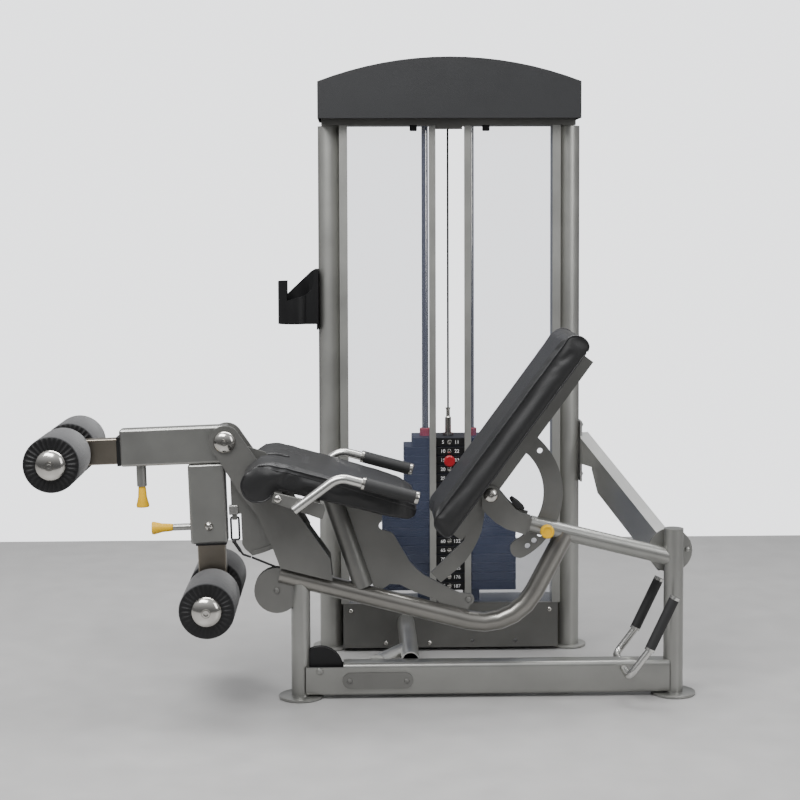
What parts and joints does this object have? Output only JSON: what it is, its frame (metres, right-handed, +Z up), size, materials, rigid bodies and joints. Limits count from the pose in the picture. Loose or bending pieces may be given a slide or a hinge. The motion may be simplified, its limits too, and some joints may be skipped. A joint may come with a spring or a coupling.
{
  "type": "leg extension machine",
  "caption": "Selectorised leg extension bench with adjustable roller arm, reclining backrest and a guarded weight tower beside it.",
  "frame": {"origin": "on the floor, under the middle of the machine's bounding box", "axes": "+X from the rollers to the back of the bench, +Y from the bench to the weight tower, +Z up"},
  "size_m": [1.8151, 0.9249, 1.808],
  "materials": {
    "frame_silver": "silver-grey metallic gloss paint",
    "plate_grey": "dark grey satin powder coat",
    "chrome": "polished",
    "vinyl": "black vinyl, welted seams",
    "foam": "dark grey covered foam",
    "rubber": "black, matt",
    "plastic": "black moulded",
    "cap_plastic": "dark grey, grained",
    "acrylic": "clear, slightly blue-grey sheet",
    "stack_paint": "dark navy paint",
    "yellow": "yellow moulded knob",
    "red": "red moulded knob",
    "cable": "black coated steel cable"
  },
  "bodies": {
    "frame": {"front_post": "frame_silver", "rear_post": "frame_silver", "base_tube": "frame_silver", "main_tube": "frame_silver", "rear_tube": "frame_silver", "cross_tube": "frame_silver", "rear_brace": "frame_silver", "tower_upright_left": "frame_silver", "tower_upright_right": "frame_silver", "slot_trim_left": "frame_silver", "slot_trim_right": "frame_silver", "base_cover_plate": "plate_grey", "seat_post": "plate_grey", "seat_gusset": "plate_grey", "back_brace": "plate_grey", "knee_plate_near": "plate_grey", "knee_plate_far": "plate_grey", "back_fork": "plate_grey", "pulley_guard": "plate_grey", "top_beam": "plate_grey", "base_panel": "plate_grey", "knee_axle": "chrome", "back_axle": "chrome", "rear_handle_bar": "chrome", "seat_handle_frame": "chrome", "guide_rod_left": "chrome", "guide_rod_right": "chrome", "seat_pad": "vinyl", "rear_grip_near": "rubber", "rear_grip_far": "rubber", "seat_grip_near": "rubber", "seat_grip_far": "rubber", "stack_cushion": "rubber", "cup_holder": "plastic", "top_cap": "cap_plastic", "guard_panel_left": "acrylic", "guard_panel_right": "acrylic", "weight_stack": "stack_paint", "drive_cable": "cable", "lift_cable": "cable"},
    "arm": {"movement_arm": "frame_silver", "cam_plate": "plate_grey", "cable_link": "chrome"},
    "upper_bar": {"upper_slider": "frame_silver"},
    "lower_bar": {"lower_slider": "frame_silver"},
    "upper_roller_a": {"upper_roller_near": "foam"},
    "upper_roller_b": {"upper_roller_far": "foam"},
    "lower_roller_a": {"lower_roller_near": "foam"},
    "lower_roller_b": {"lower_roller_far": "foam"},
    "upper_pin": {"upper_pull_pin": "yellow"},
    "lower_pin": {"lower_pull_pin": "yellow"},
    "back_pin": {"back_pull_pin": "yellow"},
    "backrest": {"back_frame": "plate_grey", "back_pad": "vinyl"},
    "moving_stack": {"lifted_plates": "stack_paint", "selector_stem": "chrome"},
    "stack_pin": {"selector_pin": "red"},
    "front_wheel": {"front_pulley": "plastic"},
    "base_wheel": {"base_pulley": "plastic"},
    "top_wheel": {"top_pulley": "plastic"}
  },
  "joints": [
    {"name": "arm_swing", "type": "hinge", "parent": "frame", "child": "arm", "pos_m": [-0.396, -0.2, 0.72], "axis": [0, 1, 0], "range_deg": [0, 90]},
    {"name": "upper_slide", "type": "slide", "parent": "arm", "child": "upper_bar", "axis": [-0.9994, 0, -0.0349], "range_m": [-0.05, 0.05]},
    {"name": "lower_slide", "type": "slide", "parent": "arm", "child": "lower_bar", "axis": [0.0349, 0, -0.9994], "range_m": [-0.05, 0.05]},
    {"name": "upper_roller_spin_a", "type": "hinge", "parent": "upper_bar", "child": "upper_roller_a", "pos_m": [-0.83319, -0.2, 0.68922], "axis": [0, 1, 0], "continuous": true},
    {"name": "upper_roller_spin_b", "type": "hinge", "parent": "upper_bar", "child": "upper_roller_b", "pos_m": [-0.83319, -0.2, 0.68922], "axis": [0, 1, 0], "continuous": true},
    {"name": "lower_roller_spin_a", "type": "hinge", "parent": "lower_bar", "child": "lower_roller_a", "pos_m": [-0.43133, -0.2, 0.29901], "axis": [0, 1, 0], "continuous": true},
    {"name": "lower_roller_spin_b", "type": "hinge", "parent": "lower_bar", "child": "lower_roller_b", "pos_m": [-0.43133, -0.2, 0.29901], "axis": [0, 1, 0], "continuous": true},
    {"name": "upper_pin_pull", "type": "slide", "parent": "arm", "child": "upper_pin", "axis": [0.0349, 0, -0.9994], "range_m": [0, 0.012], "stiffness_N_per_m": 900, "springref_m": -0.012},
    {"name": "lower_pin_pull", "type": "slide", "parent": "arm", "child": "lower_pin", "axis": [-0.9994, 0, -0.0349], "range_m": [0, 0.012], "stiffness_N_per_m": 900, "springref_m": -0.012},
    {"name": "back_recline", "type": "hinge", "parent": "frame", "child": "backrest", "pos_m": [0.333, -0.2, 0.567], "axis": [0, 1, 0], "range_deg": [-17.4, 62]},
    {"name": "back_pin_pull", "type": "slide", "parent": "frame", "child": "back_pin", "axis": [0, -1, 0], "range_m": [0, 0.012], "stiffness_N_per_m": 900, "springref_m": -0.012},
    {"name": "stack_lift", "type": "slide", "parent": "frame", "child": "moving_stack", "axis": [0, 0, 1], "range_m": [0, 0.52], "deforming": ["lift_cable"]},
    {"name": "stack_pin_pull", "type": "slide", "parent": "moving_stack", "child": "stack_pin", "axis": [0, -1, 0], "range_m": [0, 0.1]},
    {"name": "front_wheel_spin", "type": "hinge", "parent": "frame", "child": "front_wheel", "pos_m": [-0.257, -0.2, 0.303], "axis": [0, 1, 0], "range_deg": [-525, 5]},
    {"name": "base_wheel_spin", "type": "hinge", "parent": "frame", "child": "base_wheel", "pos_m": [-0.1392, -0.2, 0.079], "axis": [0, 1, 0], "range_deg": [-5, 490]},
    {"name": "top_wheel_spin", "type": "hinge", "parent": "frame", "child": "top_wheel", "pos_m": [0.2475, 0.3969, 1.705], "axis": [1, 0, 0], "range_deg": [-635, 5]}
  ],
  "couplings": [
    {"joint": "stack_lift", "follows": "arm_swing", "m_per_rad": 0.328},
    {"joint": "front_wheel_spin", "follows": "arm_swing", "ratio": -5.764},
    {"joint": "base_wheel_spin", "follows": "arm_swing", "ratio": 5.386},
    {"joint": "top_wheel_spin", "follows": "arm_swing", "ratio": -6.99}
  ]
}
